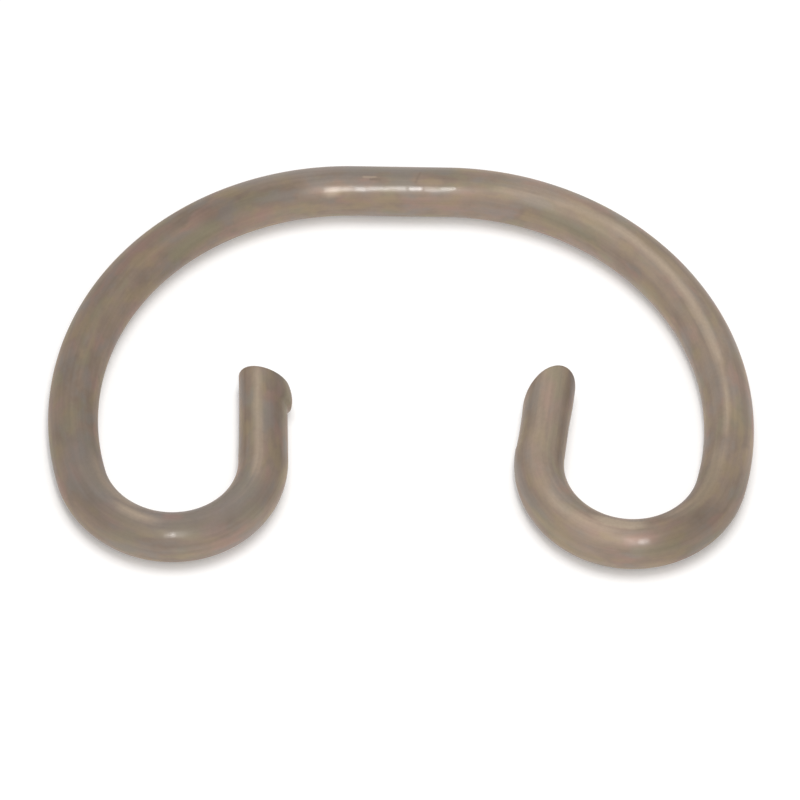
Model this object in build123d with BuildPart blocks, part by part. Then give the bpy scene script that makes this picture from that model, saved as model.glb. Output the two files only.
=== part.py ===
from build123d import *
import os
from math import cos, radians, tan

# Retaining ring: one round steel wire, bent to an open ring whose two ends turn back in hooks.
# It lies flat on Z = 0, with the origin under the middle of its outline and the bar toward +Y.
# Lengths are in millimetres and angles in degrees.

# Wire
wire_diameter = 1.6

# Straight bar across the back, and the shoulder arcs that seat in the groove
bar_length = 3.05
seat_radius = 8.17
shoulder_sweep = 104.3

# Hooks, bent round one size of pin, each with its own spring-back
hook_inner_radius = 2.15
left_hook_sweep = 166.4
right_hook_sweep = 172.6

# Straight legs, from the end of the hook to the middle of the sheared end
left_leg_length = 3.05
right_leg_length = 2.3

# Sheared ends: the slant shortens the side toward the gap, the rake lengthens the upper side
left_cut_slant = 16.5
left_cut_rake = 2.0
right_cut_slant = 30.5
right_cut_rake = 41.7
cut_edge_radius = 0.05

# Lip that the shear pressed out of the left end toward the gap, measured from the middle of the cut
lip_height = 0.13
lip_length = 0.86

# Worked out from the sizes above
wire_radius = wire_diameter / 2
shoulder_radius = seat_radius + wire_radius
hook_radius = hook_inner_radius + wire_radius
hook_rise = (shoulder_radius - hook_radius) * cos(radians(shoulder_sweep))
bar_y = (shoulder_radius + hook_radius - hook_rise) / 2
trim_length = wire_diameter * 1.5
trim_radius = wire_diameter * 2
left_turn = 1
right_turn = -1


def bend_side(bar_end, outward, turn, hook_sweep, leg_length):
    """Draw one side of the centreline, from the bar's end to past the cut, and return its leg."""
    shoulder = JernArc(bar_end, outward, shoulder_radius, turn * shoulder_sweep)
    hook = JernArc(shoulder @ 1, shoulder % 1, hook_radius, turn * hook_sweep)
    return PolarLine(hook @ 1, leg_length + trim_length, direction=hook % 1)


def across_leg(leg, distance, turn):
    """Plane across a leg at a distance from its hook, with X toward the gap between the legs."""
    along = leg % 0
    toward_gap = along.cross(Vector(0, 0, turn))
    return Plane(origin=leg @ 0 + along * distance, x_dir=toward_gap, z_dir=along)


def shear_plane(leg, distance, turn, slant, rake):
    """Plane of a sheared end, facing away from the leg."""
    square = across_leg(leg, distance, turn)
    facing = square.z_dir + square.x_dir * tan(radians(slant)) - Vector(0, 0, tan(radians(rake)))
    return Plane(origin=square.origin, z_dir=facing)


with BuildPart() as retaining_ring:
    with BuildLine(Plane.XY.offset(wire_radius)) as centreline:
        bar = Line((-bar_length / 2, bar_y), (bar_length / 2, bar_y))
        left_leg = bend_side(bar @ 0, (-1, 0), left_turn, left_hook_sweep, left_leg_length)
        right_leg = bend_side(bar @ 1, (1, 0), right_turn, right_hook_sweep, right_leg_length)
    path = centreline.wires()[0]
    with BuildSketch(Plane(origin=path @ 0, z_dir=path % 0)):
        Circle(wire_radius)
    sweep(path=path)

    # Lip on the left end: an oval as high as the wire, which stands out on the side toward the gap
    with BuildSketch(across_leg(left_leg, left_leg_length - lip_length, left_turn)):
        with Locations((lip_height / 2, 0)):
            Ellipse(wire_radius + lip_height / 2, wire_radius)
    extrude(amount=lip_length + trim_length)

    # Sheared ends
    left_cut = shear_plane(left_leg, left_leg_length, left_turn, left_cut_slant, left_cut_rake)
    right_cut = shear_plane(right_leg, right_leg_length, right_turn, right_cut_slant, right_cut_rake)
    with BuildSketch(left_cut, right_cut):
        Circle(trim_radius)
    extrude(amount=trim_radius, mode=Mode.SUBTRACT)
    for cut in (left_cut, right_cut):
        end_face = retaining_ring.faces().filter_by(cut).sort_by_distance(cut.origin)[0]
        fillet(end_face.edges(), cut_edge_radius)

retaining_ring.part.label = "retaining_ring"
os.makedirs("parts", exist_ok=True)
export_step(retaining_ring.part, "parts/retaining_ring.step")
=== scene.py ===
from math import cos, pi, radians, sin, tan

import bmesh
import bpy
from mathutils import Matrix, Vector


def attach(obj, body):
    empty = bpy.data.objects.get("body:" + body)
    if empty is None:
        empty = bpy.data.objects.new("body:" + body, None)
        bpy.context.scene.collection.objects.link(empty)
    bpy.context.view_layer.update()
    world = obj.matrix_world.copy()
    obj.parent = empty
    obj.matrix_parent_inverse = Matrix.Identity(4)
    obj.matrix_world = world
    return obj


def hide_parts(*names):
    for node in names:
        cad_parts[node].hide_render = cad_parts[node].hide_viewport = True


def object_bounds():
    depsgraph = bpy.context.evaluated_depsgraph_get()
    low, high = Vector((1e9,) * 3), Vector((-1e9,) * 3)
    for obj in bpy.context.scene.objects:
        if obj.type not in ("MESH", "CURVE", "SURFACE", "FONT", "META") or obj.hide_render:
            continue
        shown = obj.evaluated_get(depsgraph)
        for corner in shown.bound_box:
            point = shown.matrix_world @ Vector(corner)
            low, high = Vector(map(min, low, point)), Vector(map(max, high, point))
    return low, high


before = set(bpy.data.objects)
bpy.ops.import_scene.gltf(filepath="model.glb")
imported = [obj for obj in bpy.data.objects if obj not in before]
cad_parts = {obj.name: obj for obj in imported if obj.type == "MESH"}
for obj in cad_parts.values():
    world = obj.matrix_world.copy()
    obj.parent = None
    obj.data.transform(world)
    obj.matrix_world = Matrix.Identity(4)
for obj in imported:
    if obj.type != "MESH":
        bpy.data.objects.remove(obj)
solid_low, solid_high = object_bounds()

# Retaining ring: one round steel wire, drawn, bent to an open ring with two hooks and sheared at both ends.
# Lengths are in metres and angles in degrees. The ring lies on Z = 0 with its straight bar toward +Y.
MM = 0.001

# Wire, bar, shoulders and hooks
WIRE_RADIUS = 0.8 * MM
BAR_LENGTH = 3.05 * MM
BAR_Y = solid_high.y - WIRE_RADIUS
SHOULDER_RADIUS = 8.17 * MM + WIRE_RADIUS
SHOULDER_SWEEP = 104.3
HOOK_RADIUS = 2.15 * MM + WIRE_RADIUS

# Each side: which way it goes from the bar, its hook, its leg, and the slant and rake of its sheared end
LEFT_SIDE = {"way": -1, "hook_sweep": 166.4, "leg_length": 3.05 * MM, "slant": 16.5, "rake": 2.0}
RIGHT_SIDE = {"way": 1, "hook_sweep": 172.6, "leg_length": 2.3 * MM, "slant": 30.5, "rake": 41.7}

# Where the shear squeezed the wire: a lip on the left end, and a slight swelling of the right end. Where the
# bending tool flattened it: one side of each leg. Facing is 1 on the side toward the gap between the hooks.
# Each reaches a length back from the end, and has its height at the foot, halfway and at the end.
LEFT_LIP = {"facing": 1, "length": 0.86 * MM, "foot": 0.11 * MM, "belly": 0.15 * MM, "end": 0.05 * MM}
LEFT_FLAT = {"facing": -1, "length": 3.0 * MM, "foot": 0.0, "belly": -0.042 * MM, "end": -0.045 * MM}
RIGHT_SWELLING = {"facing": -1, "length": 1.2 * MM, "foot": 0.0, "belly": 0.03 * MM, "end": 0.03 * MM}
RIGHT_FLAT = {"facing": 1, "length": 2.15 * MM, "foot": -0.02 * MM, "belly": -0.055 * MM, "end": -0.04 * MM}

# Sheared faces: the rounded rim, and the sunk part where the steel broke off
LEFT_RIM_WIDTH = 0.08 * MM
RIGHT_RIM_WIDTH = 0.16 * MM
BREAK_INSET = 0.06 * MM
BREAK_DEPTH = 0.02 * MM

# The finish of the sheared faces, counted from 0 in the ring's materials
SHEARED_FINISH = 1

# Fineness of the mesh
ROUND_PARTS = 72
RING_STEP = 0.1 * MM
RIM_PARTS = 4

# Every point keeps its place in the straight wire: distance from the bar's middle, outward, and up
DRAWN_WIRE = "drawn_wire"

# Camera: the photograph's frame and viewing direction. It sees from its distance divided by its range up to
# its distance times its range.
PICTURE_WIDTH = 25.603 * MM
CAMERA_DISTANCE = 1.0
CAMERA_RANGE = 3.0
CAMERA_TURN = -2.5
CAMERA_ELEVATION = 56.5
CAMERA_ROLL = 2.95
AIM = Vector((-0.035 * MM, -1.325 * MM, WIRE_RADIUS))
SENSOR_WIDTH = 36.0

# Table top and surroundings
FLOOR_SIZE = 0.6
FLOOR_ROUGHNESS = 0.8
FLOOR_WHITE = (0.86, 0.86, 0.86, 1)
FLOOR_GLOW = 0.20
FLOOR_GLOW_IN_GLOSS = 0.55
SKY_AMBIENT = 0.35
WHITE = (1, 1, 1, 1)

# Lamps. Azimuth 0 is on the hooks' side and 90 on the right.
LAMP_DISTANCE = 0.4
KEY_LAMP = {
    "power": 0.42, "width": 0.03, "height": 0.24, "azimuth": 8, "elevation": 67,
    "colour": (1.0, 0.96, 0.93), "in_gloss": True,
}
CEILING_LAMP = {
    "power": 0.77, "width": 0.2, "height": 0.2, "azimuth": 180, "elevation": 89,
    "colour": (1.0, 1.0, 1.0), "in_gloss": False,
}


def link_object(name, data):
    """Make an object of a mesh, a lamp or a camera, and put it in the scene."""
    made = bpy.data.objects.new(name, data)
    bpy.context.scene.collection.objects.link(made)
    return made


def straight_run(length):
    """A straight run's length, and the places of its rings of points from where it starts."""
    count = round(length / RING_STEP)
    return length, [Matrix.Translation((length * step / count, 0, 0)) for step in range(1, count + 1)]


def bend_run(radius, sweep, way):
    """A bend's length and the places of its rings. It turns clockwise where way is 1."""
    length = radius * radians(sweep)
    count = round(length / RING_STEP)
    to_pin = Matrix.Translation((0, -way * radius, 0))
    turns = [Matrix.Rotation(-way * radians(sweep) * step / count, 4, "Z") for step in range(1, count + 1)]
    return length, [to_pin @ turn @ to_pin.inverted() for turn in turns]


def leg_run(length, lean_out, lean_up):
    """A leg's length and the places of its rings, which lean over bit by bit into the plane of its end."""
    count = round(length / RING_STEP)
    places = []
    for step in range(1, count + 1):
        lean = Matrix.Identity(4)
        lean[0][1] = lean_out * step / count
        lean[0][2] = lean_up * step / count
        places.append(Matrix.Translation((length * step / count, 0, 0)) @ lean)
    return length, places


def form_side(bm, drawn, ring, way, hook_sweep, leg_length, slant, rake):
    """Form one side from the bar's middle. Returns its open end, the end's place, and the wire's length."""
    facing = Matrix.Identity(4) if way > 0 else Matrix.Rotation(pi, 4, "Z")
    place = Matrix.Translation((0, BAR_Y, WIRE_RADIUS)) @ facing
    runs = (
        straight_run(BAR_LENGTH / 2),
        bend_run(SHOULDER_RADIUS, SHOULDER_SWEEP, way),
        bend_run(HOOK_RADIUS, hook_sweep, way),
        leg_run(leg_length, -way * tan(radians(slant)), tan(radians(rake))),
    )
    along = 0.0
    for length, steps in runs:
        start = place
        for number, step in enumerate(steps, 1):
            made = bmesh.ops.extrude_edge_only(bm, edges=ring)["geom"]
            points = [part for part in made if isinstance(part, bmesh.types.BMVert)]
            edges = [part for part in made if isinstance(part, bmesh.types.BMEdge)]
            fresh = set(points)
            ring = [edge for edge in edges if fresh.issuperset(edge.verts)]
            bmesh.ops.transform(bm, matrix=start @ step @ place.inverted(), verts=points)
            place = start @ step
            drawn_to = way * (along + length * number / len(steps))
            for point in points:
                point[drawn] = (drawn_to, point[drawn].y, point[drawn].z)
        along += length
    return ring, place, along


def squeeze_end(bm, drawn, way, place, wire_end, facing, length, foot, belly, end):
    """Press one side of the wire's end outward, or inward where a height is below 0, along its cut."""
    outward = place.to_3x3() @ Vector((0, way * facing, 0))
    for point in bm.verts:
        share = 1 - (wire_end - way * point[drawn].x) / length
        if share > 0 and facing * point[drawn].y > 0:
            halfway = 4 * share * (1 - share)
            height = foot + (end - foot) * share + (belly - (foot + end) / 2) * halfway
            point.co += outward * height * (point[drawn].y / WIRE_RADIUS) ** 2


def shear_end(bm, rim, rim_width):
    """Close a sheared end, round its rim, and sink the part of its face where the steel broke off."""
    face = bmesh.ops.edgeloop_fill(bm, edges=rim)["faces"][0]
    face.material_index = SHEARED_FINISH
    middle = face.calc_center_median()
    bmesh.ops.bevel(
        bm, geom=rim, offset=rim_width, offset_type="WIDTH", segments=RIM_PARTS, profile=0.5,
        affect="EDGES", clamp_overlap=True, material=-1,
    )
    face = min(bm.faces, key=lambda part: (part.calc_center_median() - middle).length)
    face.normal_update()
    up_the_face = face.normal.cross(Vector((1, 0, 0))).normalized()
    geometry = [face, *face.edges, *face.verts]
    split = bmesh.ops.bisect_plane(bm, geom=geometry, plane_co=middle, plane_no=up_the_face)
    halves = [part for part in split["geom"] if isinstance(part, bmesh.types.BMFace)]
    broken = min(halves, key=lambda half: half.calc_center_median().z)
    bmesh.ops.inset_region(
        bm, faces=[broken], thickness=BREAK_INSET, depth=-BREAK_DEPTH, use_even_offset=True,
    )


def form_wire():
    """Form the whole ring outward from the bar's middle, as one closed mesh."""
    bm = bmesh.new()
    drawn = bm.verts.layers.float_vector.new(DRAWN_WIRE)
    across_bar = Matrix.Translation((0, BAR_Y, WIRE_RADIUS)) @ Matrix.Rotation(pi / 2, 4, "Y")
    bmesh.ops.create_circle(bm, segments=ROUND_PARTS, radius=WIRE_RADIUS, matrix=across_bar)
    for point in bm.verts:
        point[drawn] = (0, point.co.y - BAR_Y, point.co.z - WIRE_RADIUS)
    middle = bm.edges[:]
    sides = (
        (LEFT_SIDE, (LEFT_LIP, LEFT_FLAT), LEFT_RIM_WIDTH),
        (RIGHT_SIDE, (RIGHT_SWELLING, RIGHT_FLAT), RIGHT_RIM_WIDTH),
    )
    rims = []
    for side, squeezes, rim_width in sides:
        rim, place, wire_end = form_side(bm, drawn, middle, **side)
        for squeeze in squeezes:
            squeeze_end(bm, drawn, side["way"], place, wire_end, **squeeze)
        rims.append((rim, rim_width))
    bmesh.ops.recalc_face_normals(bm, faces=bm.faces)
    for face in bm.faces:
        face.smooth = True
    for rim, rim_width in rims:
        shear_end(bm, rim, rim_width)
    bmesh.ops.recalc_face_normals(bm, faces=bm.faces)
    mesh = bpy.data.meshes.new("bent_wire")
    bm.to_mesh(mesh)
    bm.free()
    return link_object("bent_wire", mesh)


class Value:
    """A number that varies over the surface. A sum written with it adds the nodes that work it out."""

    def __init__(self, finish, socket):
        self.finish = finish
        self.socket = socket

    def sum(self, operation, *terms):
        return self.finish.value("ShaderNodeMath", {"operation": operation}, dict(enumerate(terms)))

    def __add__(self, other):
        return self.sum("ADD", self, other)

    def __radd__(self, other):
        return self.sum("ADD", other, self)

    def __sub__(self, other):
        return self.sum("SUBTRACT", self, other)

    def __rsub__(self, other):
        return self.sum("SUBTRACT", other, self)

    def __mul__(self, other):
        return self.sum("MULTIPLY", self, other)

    def __rmul__(self, other):
        return self.sum("MULTIPLY", other, self)

    def __truediv__(self, other):
        return self.sum("DIVIDE", self, other)

    def __rtruediv__(self, other):
        return self.sum("DIVIDE", other, self)


class Finish:
    """A node tree, written as expressions."""

    def __init__(self, tree):
        self.tree = tree
        tree.nodes.clear()

    def node(self, kind, settings=None, inputs=None):
        """Add a node: its type, its settings, and then the values or links of its sockets."""
        node = self.tree.nodes.new(kind)
        for name, setting in (settings or {}).items():
            setattr(node, name, setting)
        for name, given in (inputs or {}).items():
            if isinstance(name, int):
                socket = node.inputs[name]
            else:
                socket = next(part for part in node.inputs if part.name == name and part.enabled)
            if isinstance(given, Value):
                given = given.socket
            if isinstance(given, bpy.types.NodeSocket):
                self.tree.links.new(given, socket)
            else:
                socket.default_value = given
        return node

    def output(self, kind, settings=None, inputs=None, name=None):
        """Add a node and return one of its outputs that is in use."""
        node = self.node(kind, settings, inputs)
        return next(part for part in node.outputs if part.enabled and name in (None, part.name))

    def value(self, kind, settings=None, inputs=None, name=None):
        """Add a node and return one of its outputs as a number."""
        return Value(self, self.output(kind, settings, inputs, name))

    def between(self, value, low, high):
        """A smooth rise from 0 at low to 1 at high."""
        return self.value(
            "ShaderNodeMapRange",
            {"interpolation_type": "SMOOTHSTEP"},
            {"Value": value, "From Min": low, "From Max": high},
        )

    def swing(self, value, by):
        """A factor that swings by this much to either side of 1, as the value goes from 0 to 1."""
        return (1 - by) + 2 * by * value

    def weigh(self, weights, patterns):
        """An even part and patterns, each times its weight, added up."""
        total = weights["even"]
        for name, weight in weights.items():
            if name != "even":
                total = total + weight * patterns[name]
        return total

    def off_line(self, place, start, end):
        """Distance of a place from the straight line that joins two others."""
        way = Vector(end) - Vector(start)
        from_start = self.output("ShaderNodeVectorMath", {"operation": "SUBTRACT"}, {0: place, 1: start})
        dot_inputs = {0: from_start, 1: way}
        share = self.value("ShaderNodeVectorMath", {"operation": "DOT_PRODUCT"}, dot_inputs, "Value")
        share = self.value("ShaderNodeClamp", None, {"Value": share / way.length_squared})
        nearest = self.output("ShaderNodeVectorMath", {"operation": "SCALE"}, {0: way, "Scale": share})
        ends = {0: from_start, 1: nearest}
        return self.value("ShaderNodeVectorMath", {"operation": "DISTANCE"}, ends, "Value")

    def strokes(self, place, marks, taper=1.0):
        """Soft strokes over a surface, each from one place to another, with its half width and strength.

        A stroke fades out past its ends over its half width times the taper.
        """
        strongest = 0.0
        place = self.stretch(place, (1 / taper, 1, 1))
        for start, end, half_width, strength in marks:
            off = self.off_line(place, (start[0] / taper, start[1], 0), (end[0] / taper, end[1], 0))
            stroke = (1 - self.between(off, 0.0, half_width)) * strength
            strongest = stroke.sum("MAXIMUM", stroke, strongest)
        return strongest

    def noise(self, place, fineness, detail=2.0, roughness=0.5):
        """Noise from 0 to 1, with its fineness along each axis."""
        place = self.stretch(place, fineness)
        inputs = {"Vector": place, "Scale": 1.0, "Detail": detail, "Roughness": roughness}
        return self.value("ShaderNodeTexNoise", None, inputs)

    def stretch(self, vector, factors):
        """A vector with each part multiplied."""
        return self.output("ShaderNodeVectorMath", {"operation": "MULTIPLY"}, {0: vector, 1: factors})

    def mix(self, factor, one, other, blend="MIX"):
        """One colour at 0 and the other at 1."""
        settings = {"data_type": "RGBA", "blend_type": blend}
        return self.output("ShaderNodeMix", settings, {"Factor": factor, "A": one, "B": other})

    def rays(self, *kinds):
        """1 where the surface is met by a ray of these kinds, and 0 elsewhere."""
        light_path = self.node("ShaderNodeLightPath")
        met = 0.0
        for kind in kinds:
            met = met + Value(self, light_path.outputs[kind])
        return met


# Colours of the steel, as linear red, green and blue, and its gloss
DULL_STEEL = (0.330, 0.255, 0.199, 1)
DARK_OXIDE = (0.245, 0.189, 0.147, 1)
OLIVE_TINT = (0.280, 0.254, 0.172, 1)
ROSE_TINT = (0.355, 0.232, 0.194, 1)
STRAW_TINT = (0.335, 0.262, 0.168, 1)
SLATE_TINT = (0.265, 0.236, 0.212, 1)
# Lighter steel of rubbed wear, also used for the painted sheen bands
WORN_STEEL_AND_PAINTED_SHEEN = (0.430, 0.345, 0.262, 1)
FRESH_STEEL = (0.400, 0.350, 0.300, 1)
EDGE_TINT = (0.98, 0.98, 0.98, 1)
WIRE_METALLIC = 0.80
WIRE_SPECULAR = 0.3
OXIDE_FILM_IOR = 2.2
OXIDE_FILM_ROUGHNESS = 0.2
SHEARED_METALLIC = 0.85

# Patterns that the drawing left on the wire: their fineness along it, outward and up, per millimetre, and
# their detail and roughness
FINE_LINES = ((0.25, 9.0, 9.0), 3.0, 0.6)
BROAD_LINES = ((0.16, 3.2, 3.2), 2.0, 0.5)
MOTTLE = ((0.9, 1.3, 1.3), 3.0, 0.55)
GRAIN = ((9.0, 9.0, 9.0), 3.0, 0.6)

# Where the mottle is between these, the dark oxide gives way to dull steel, from the least share to the most
MOTTLE_EDGE = (0.35, 0.65)
LEAST_CLEAN = 0.2
MOST_CLEAN = 0.8

# Faint tints: the pattern's fineness, the tint where it is low, the tint where it is high, the half width of
# the bare part between them, and the strength. A tint is full past the pattern's low or high mark.
FAINT_TINTS = (
    ((0.8, 1.7, 1.7), OLIVE_TINT, ROSE_TINT, 0.02, 0.5),
    ((-0.9, 1.9, 1.9), SLATE_TINT, STRAW_TINT, 0.0, 0.6),
)
TINT_LOW = 0.32
TINT_MIDDLE = 0.50
TINT_HIGH = 0.68

# How far each pattern swings the steel's brightness, and the share that the dull stretches lose
FINE_LINES_SHADE = 0.16
BROAD_LINES_SHADE = 0.14
GRAIN_SHADE = 0.06
DULL_SHADE = 0.12

# Roughness, thickness of the oxide film, and relief: an even part, and the weight of each pattern
ROUGHNESS = {"even": 0.50, "fine_lines": 0.14, "mottle": 0.10, "rubbed_and_painted_sheen": -0.08, "dull": 0.05}
FILM = {"even": 0.035, "mottle": 0.07}
RELIEF = {"even": 0.0, "fine_lines": 0.5, "broad_lines": 0.8, "grain": 0.35, "darker": -1.5}
WIRE_RELIEF = 0.004 * MM
FILM_LOST_WHERE_DULL = 0.5
FILM_WHERE_OILY = 0.34
OILY_GRAIN = 0.3

# How evenly a stroke of rubbed wear and painted sheen covers, how much of it follows the broad lines, and
# how the grain breaks it
RUBBED_AND_SHEEN_EVEN = 0.55
RUBBED_AND_SHEEN_IN_LINES = 0.9
RUBBED_AND_SHEEN_GRAIN = 0.4

# Duller stretches of the wire: where each starts, is full, starts to fade and ends, in millimetres along it
DULL_STRETCHES = (
    (-22.0, -17.0, -9.0, -3.0),
    (16.0, 19.0, 20.4, 21.6),
)

# Strokes wander sideways by this many millimetres, with this fineness per millimetre
WANDER = 0.16
WANDER_FINENESS = (1.6, 1.6, 1.6)

# Strokes on the wire's surface: from one place to another, then the half width in millimetres and the
# strength. A place is the distance along the wire and the way round it from the top, outward, both in
# millimetres. The tapers are how many times longer than wide a stroke's soft ends are.
RUBBED_AND_SHEEN_TAPER = 3.0
SCUFF_AND_GLINT_TAPER = 1.5
PAINTED_SHADE_TAPER = 2.0
# Rubbed wear, together with painted sheen: lighter bands on the right shoulder, the legs and the hooks that
# stand in for a lamp's reflection
RUBBED_WEAR_AND_PAINTED_SHEEN = (
    ((3.4, -0.22), (5.4, -0.06), 0.26, 0.40),
    ((5.4, -0.06), (7.4, -0.02), 0.34, 0.62),
    ((7.4, -0.02), (8.9, -0.02), 0.36, 0.75),
    ((8.9, -0.02), (10.4, -0.04), 0.36, 0.75),
    ((10.4, -0.04), (11.8, -0.11), 0.34, 0.75),
    ((11.8, -0.11), (13.2, -0.11), 0.30, 0.75),
    ((13.2, -0.11), (14.6, -0.11), 0.24, 0.45),
    ((14.6, -0.11), (16.0, -0.15), 0.22, 0.50),
    ((9.5, -0.42), (15.5, -0.42), 0.50, 0.22),
    ((4.5, 0.00), (9.5, 0.00), 0.90, 0.30),
    ((9.5, 0.00), (13.5, -0.08), 0.80, 0.18),
    ((-29.0, -0.17), (-26.8, -0.18), 0.28, 0.60),
    ((-26.8, -0.18), (-25.7, -0.14), 0.26, 0.60),
    ((21.9, -0.25), (22.6, -0.25), 0.36, 1.20),
    ((22.7, 0.02), (23.6, 0.05), 0.42, 0.62),
    ((23.6, 0.05), (24.6, 0.14), 0.38, 0.55),
    ((22.4, 0.10), (29.0, 0.00), 1.00, 0.28),
    ((-20.75, -0.08), (-20.25, -0.14), 0.32, 0.70),
    ((-19.9, -0.46), (-18.0, -0.50), 0.36, 0.60),
    ((17.4, -0.28), (19.8, -0.34), 0.42, 0.62),
    ((27.2, 0.13), (27.6, 0.15), 0.28, 0.45),
)
# A small scuff, and a painted glint below the bar's highlight streak
SCUFFS_AND_PAINTED_GLINT = (
    ((-1.20, 0.01), (-0.86, 0.02), 0.07, 0.60),
    ((-2.33, -0.52), (-2.25, -0.52), 0.26, 0.70),
)
STAINED_DARKER = (
    ((-1.00, -0.06), (-0.70, -0.05), 0.07, 0.90),
    ((0.60, 0.22), (0.45, -0.14), 0.07, 0.55),
    ((28.02, 0.93), (28.08, 1.00), 0.08, 0.70),
    ((8.0, 0.42), (16.5, 0.66), 0.20, 0.45),
)
# Painted shade strokes, which darken parts of the legs, the hooks and the bar's left side. The strength is
# the share of the light that the painted shade takes away
PAINTED_SHADE_STROKES = (
    ((-29.2, 0.42), (-25.0, 0.40), 0.55, 0.24),
    ((-25.0, 0.40), (-22.6, 0.24), 0.62, 0.26),
    ((-22.6, 0.24), (-19.4, 0.42), 0.70, 0.18),
    ((-6.4, -0.24), (-3.6, -0.32), 0.50, 0.26),
    ((19.2, 0.62), (21.0, 0.62), 0.40, 0.12),
    ((19.6, 0.36), (20.9, 0.38), 0.60, 0.20),
    ((25.8, -0.80), (28.6, -0.80), 0.50, 0.14),
)
STAINS = (
    (OLIVE_TINT, (
        ((-8.3, -0.75), (-6.6, -0.60), 0.50, 0.75),
        ((5.0, -0.70), (6.4, -0.75), 0.45, 0.60),
        ((-22.4, 0.36), (-22.0, 0.34), 0.30, 0.50),
        ((20.6, 0.72), (21.6, 0.72), 0.30, 0.45),
        ((28.2, -0.35), (28.9, -0.10), 0.35, 0.60),
    )),
    (SLATE_TINT, (
        ((-24.6, -0.20), (-17.4, -0.20), 1.20, 0.60),
        ((-5.0, 0.45), (1.5, 0.50), 0.50, 0.60),
    )),
    (ROSE_TINT, (
        ((21.2, 0.25), (21.8, 0.30), 0.34, 0.80),
        ((21.9, -0.10), (23.6, 0.00), 0.34, 0.45),
        ((-9.3, 0.38), (-7.9, 0.22), 0.34, 0.45),
        ((-4.9, -0.80), (-4.5, -0.80), 0.30, 0.50),
        ((-22.0, -0.30), (-21.6, -0.30), 0.30, 0.50),
        ((27.9, -0.05), (28.4, -0.08), 0.30, 0.45),
    )),
)
OILY_SPOTS = (
    ((-2.45, -0.45), (-2.10, -0.44), 0.16, 0.50),
    ((-2.0, -0.42), (-1.6, -0.42), 0.12, 0.45),
    ((-1.45, -0.42), (-1.20, -0.42), 0.13, 1.00),
    ((-1.1, -0.40), (0.1, -0.39), 0.13, 0.55),
    ((0.30, -0.37), (0.60, -0.38), 0.12, 0.95),
    ((0.8, -0.40), (1.2, -0.40), 0.12, 0.35),
    ((1.3, -0.37), (1.7, -0.37), 0.10, 0.60),
    ((-21.80, 0.40), (-21.60, 0.42), 0.13, 0.80),
    ((21.36, 0.41), (21.44, 0.41), 0.20, 1.30),
)


def drawn_place(steel):
    """The place in the straight wire, how far along it that is, and the place that strokes go by, in mm."""
    drawn = steel.output("ShaderNodeAttribute", {"attribute_name": DRAWN_WIRE}, name="Vector")
    in_mm = steel.stretch(drawn, (1 / MM, 1 / MM, 1 / MM))
    parts = steel.node("ShaderNodeSeparateXYZ", None, {"Vector": in_mm})
    along, outward, up = (Value(steel, parts.outputs[axis]) for axis in "XYZ")
    angle = steel.value("ShaderNodeMath", {"operation": "ARCTAN2"}, {0: outward, 1: up})
    wander = WANDER * (steel.noise(in_mm, WANDER_FINENESS) - 0.5)
    round_it = angle * (WIRE_RADIUS / MM) + wander
    place = steel.output("ShaderNodeCombineXYZ", None, {"X": along, "Y": round_it})
    return in_mm, along, place


def surface_patterns(steel, in_mm, along, place):
    """Every pattern of the wire's surface by its name, each a number that is 0 where it doesn't show."""
    patterns = {
        "fine_lines": steel.noise(in_mm, *FINE_LINES),
        "broad_lines": steel.noise(in_mm, *BROAD_LINES),
        "mottle": steel.noise(in_mm, *MOTTLE),
        "grain": steel.noise(in_mm, *GRAIN),
        "darker": steel.strokes(place, STAINED_DARKER),
        "dull": 0.0,
    }
    for start, full, fading, end in DULL_STRETCHES:
        stretch = steel.between(along, start, full) * (1 - steel.between(along, fading, end))
        patterns["dull"] = patterns["dull"] + stretch
    in_lines = RUBBED_AND_SHEEN_IN_LINES * patterns["broad_lines"] * steel.swing(patterns["grain"], RUBBED_AND_SHEEN_GRAIN)
    # Rubbed wear with painted sheen bands
    rubbed_and_painted_sheen = steel.strokes(place, RUBBED_WEAR_AND_PAINTED_SHEEN, RUBBED_AND_SHEEN_TAPER) * (RUBBED_AND_SHEEN_EVEN + in_lines)
    # Small scuffs, with a painted glint that carries the bar's highlight lower
    patterns["rubbed_and_painted_sheen"] = rubbed_and_painted_sheen + steel.strokes(place, SCUFFS_AND_PAINTED_GLINT, SCUFF_AND_GLINT_TAPER)
    patterns["oily"] = steel.strokes(place, OILY_SPOTS) * steel.swing(patterns["grain"], OILY_GRAIN)
    return patterns


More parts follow.
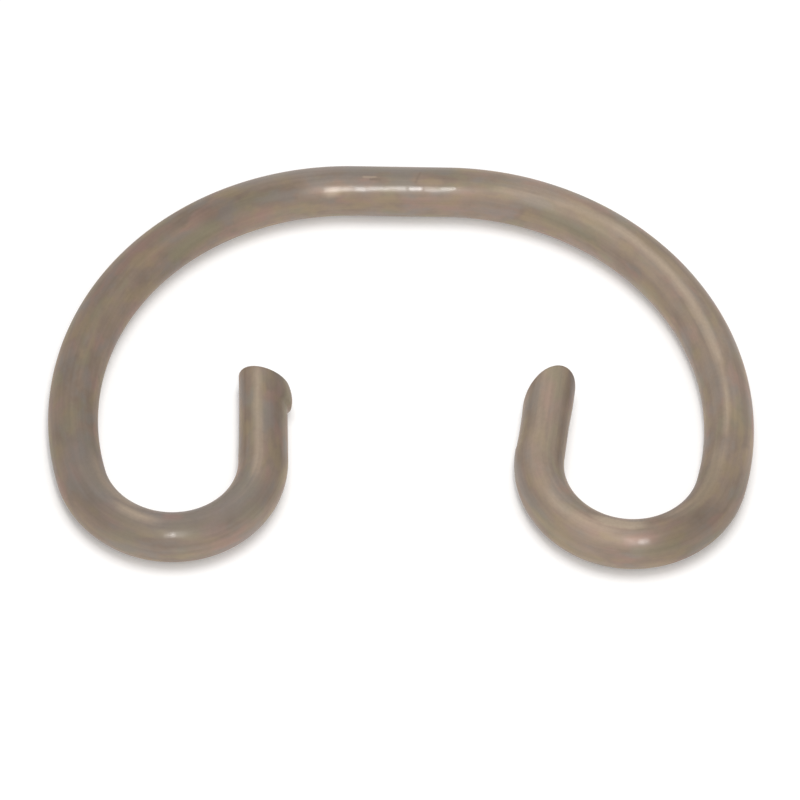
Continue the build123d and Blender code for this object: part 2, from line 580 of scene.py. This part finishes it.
def wire_colour(steel, in_mm, place, patterns):
    """Dull steel and dark oxide with faint tints, stains, rubbed wear and painted sheen, darkened by painted
    shade and the drawn lines.
    """
    clean = LEAST_CLEAN + (MOST_CLEAN - LEAST_CLEAN) * steel.between(patterns["mottle"], *MOTTLE_EDGE)
    colour = steel.mix(clean, DARK_OXIDE, DULL_STEEL)
    for fineness, low_tint, high_tint, bare, strength in FAINT_TINTS:
        tint = steel.noise(in_mm, fineness)
        high = steel.between(tint, TINT_MIDDLE + bare, TINT_HIGH)
        low = 1 - steel.between(tint, TINT_LOW, TINT_MIDDLE - bare)
        colour = steel.mix(high * strength, colour, high_tint)
        colour = steel.mix(low * strength, colour, low_tint)
    for stain, marks in STAINS:
        colour = steel.mix(steel.strokes(place, marks), colour, stain)
    # Lighter colour of rubbed wear and of the painted sheen bands
    colour = steel.mix(patterns["rubbed_and_painted_sheen"], colour, WORN_STEEL_AND_PAINTED_SHEEN)
    colour = steel.mix(patterns["darker"], colour, DARK_OXIDE)
    shade = (
        steel.swing(patterns["fine_lines"], FINE_LINES_SHADE)
        * steel.swing(patterns["broad_lines"], BROAD_LINES_SHADE)
        * steel.swing(patterns["grain"], GRAIN_SHADE)
        * (1 - DULL_SHADE * patterns["dull"])
        # Painted shade on parts of the legs, the hooks and the bar
        * (1 - steel.strokes(place, PAINTED_SHADE_STROKES, PAINTED_SHADE_TAPER))
    )
    shade = steel.output("ShaderNodeCombineXYZ", None, {"X": shade, "Y": shade, "Z": shade})
    return steel.mix(1.0, colour, shade, "MULTIPLY")


def spring_wire_finish():
    """Dull drawn spring steel under a thin oxide film: drawing lines, faint stains, rubbed stripes, painted
    sheen and painted shade.
    """
    material = bpy.data.materials.new("dull_drawn_wire")
    material.use_nodes = True
    steel = Finish(material.node_tree)
    in_mm, along, place = drawn_place(steel)
    patterns = surface_patterns(steel, in_mm, along, place)
    film = steel.weigh(FILM, patterns) * (1 - FILM_LOST_WHERE_DULL * patterns["dull"])
    film = film + FILM_WHERE_OILY * patterns["oily"]
    relief = {"Strength": 1.0, "Distance": WIRE_RELIEF, "Height": steel.weigh(RELIEF, patterns)}
    shader = steel.output(
        "ShaderNodeBsdfPrincipled",
        None,
        {
            "Base Color": wire_colour(steel, in_mm, place, patterns),
            "Metallic": WIRE_METALLIC,
            "Roughness": steel.weigh(ROUGHNESS, patterns),
            "Normal": steel.output("ShaderNodeBump", None, relief),
            "Specular IOR Level": WIRE_SPECULAR,
            "Specular Tint": EDGE_TINT,
            "Coat Weight": film,
            "Coat Roughness": OXIDE_FILM_ROUGHNESS,
            "Coat IOR": OXIDE_FILM_IOR,
        },
    )
    steel.node("ShaderNodeOutputMaterial", None, {"Surface": shader})
    return material


# Sheared faces: streaks and grain per millimetre with their detail and roughness, and what they change
CUT_STREAKS = ((9.0, 9.0, 1.2), 3.0, 0.6)
CUT_GRAIN = ((14.0, 14.0, 14.0), 4.0, 0.65)
CUT_STREAK_EDGE = (0.3, 0.7)
CUT_ROUGHNESS = {"even": 0.34, "grain": 0.25}
CUT_RELIEF = {"even": 0.0, "streaks": 1.0, "grain": 0.4}
CUT_RELIEF_DEPTH = 0.008 * MM


def sheared_finish():
    """Bare steel of the sheared faces, lighter, with streaks in the direction of the cut."""
    material = bpy.data.materials.new("sheared_steel")
    material.use_nodes = True
    steel = Finish(material.node_tree)
    place = steel.output("ShaderNodeTexCoord", name="Object")
    in_mm = steel.stretch(place, (1 / MM, 1 / MM, 1 / MM))
    patterns = {"streaks": steel.noise(in_mm, *CUT_STREAKS), "grain": steel.noise(in_mm, *CUT_GRAIN)}
    relief = {"Strength": 1.0, "Distance": CUT_RELIEF_DEPTH, "Height": steel.weigh(CUT_RELIEF, patterns)}
    shader = steel.output(
        "ShaderNodeBsdfPrincipled",
        None,
        {
            "Base Color": steel.mix(
                steel.between(patterns["streaks"], *CUT_STREAK_EDGE), DULL_STEEL, FRESH_STEEL
            ),
            "Metallic": SHEARED_METALLIC,
            "Roughness": steel.weigh(CUT_ROUGHNESS, patterns),
            "Normal": steel.output("ShaderNodeBump", None, relief),
        },
    )
    steel.node("ShaderNodeOutputMaterial", None, {"Surface": shader})
    return material


def lay_floor():
    """White table top, which keeps the ring's shadow. It glows a little to the camera and more in gloss."""
    bm = bmesh.new()
    bmesh.ops.create_grid(bm, x_segments=1, y_segments=1, size=FLOOR_SIZE / 2)
    mesh = bpy.data.meshes.new("table_top")
    bm.to_mesh(mesh)
    bm.free()
    material = bpy.data.materials.new("white_table")
    material.use_nodes = True
    white = Finish(material.node_tree)
    to_camera = white.rays("Is Camera Ray")
    in_gloss = white.rays("Is Glossy Ray", "Is Transmission Ray")
    shader = white.output(
        "ShaderNodeBsdfPrincipled",
        None,
        {
            "Base Color": FLOOR_WHITE,
            "Roughness": FLOOR_ROUGHNESS,
            "Specular IOR Level": 0.0,
            "Emission Color": WHITE,
            "Emission Strength": to_camera * FLOOR_GLOW + in_gloss * FLOOR_GLOW_IN_GLOSS,
        },
    )
    white.node("ShaderNodeOutputMaterial", None, {"Surface": shader})
    mesh.materials.append(material)
    link_object("table_top", mesh)


def hang_lamp(name, power, width, height, azimuth, elevation, colour, in_gloss):
    """Hang an oval lamp that faces the ring, and say whether gloss shows it."""
    data = bpy.data.lights.new(name, "AREA")
    data.shape = "ELLIPSE"
    data.size = width
    data.size_y = height
    data.energy = power
    data.color = colour
    turn, rise = radians(azimuth), radians(elevation)
    toward = Vector((sin(turn) * cos(rise), -cos(turn) * cos(rise), sin(rise)))
    lamp = link_object(name, data)
    lamp.location = toward * LAMP_DISTANCE
    lamp.rotation_euler = toward.to_track_quat("Z", "Y").to_euler()
    lamp.visible_glossy = in_gloss


def light_studio():
    """White surroundings of plain strength, and two lamps."""
    world = bpy.data.worlds.new("white_studio")
    world.use_nodes = True
    bpy.context.scene.world = world
    sky = Finish(world.node_tree)
    seen = sky.rays("Is Camera Ray", "Is Glossy Ray", "Is Transmission Ray")
    strength = SKY_AMBIENT + (1 - SKY_AMBIENT) * seen
    shader = sky.output("ShaderNodeBackground", None, {"Color": WHITE, "Strength": strength})
    sky.node("ShaderNodeOutputWorld", None, {"Surface": shader})
    hang_lamp("key_lamp", **KEY_LAMP)
    hang_lamp("ceiling_lamp", **CEILING_LAMP)


def set_camera():
    """Look at the ring as the photograph does, through a long lens."""
    data = bpy.data.cameras.new("camera")
    data.sensor_width = SENSOR_WIDTH
    data.lens = SENSOR_WIDTH * CAMERA_DISTANCE / PICTURE_WIDTH
    data.clip_start = CAMERA_DISTANCE / CAMERA_RANGE
    data.clip_end = CAMERA_DISTANCE * CAMERA_RANGE
    turned = Matrix.Rotation(radians(CAMERA_TURN), 4, "Z")
    raised = Matrix.Rotation(radians(90 - CAMERA_ELEVATION), 4, "X")
    rolled = Matrix.Rotation(radians(CAMERA_ROLL), 4, "Z")
    camera = link_object("camera", data)
    backed_off = Matrix.Translation((0, 0, CAMERA_DISTANCE))
    camera.matrix_world = Matrix.Translation(AIM) @ turned @ raised @ rolled @ backed_off
    bpy.context.scene.camera = camera


set_camera()
wire = form_wire()
wire.data.materials.append(spring_wire_finish())
wire.data.materials.append(sheared_finish())
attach(wire, "root")
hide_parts("retaining_ring")
lay_floor()
light_studio()
bpy.context.scene.view_settings.view_transform = "Standard"
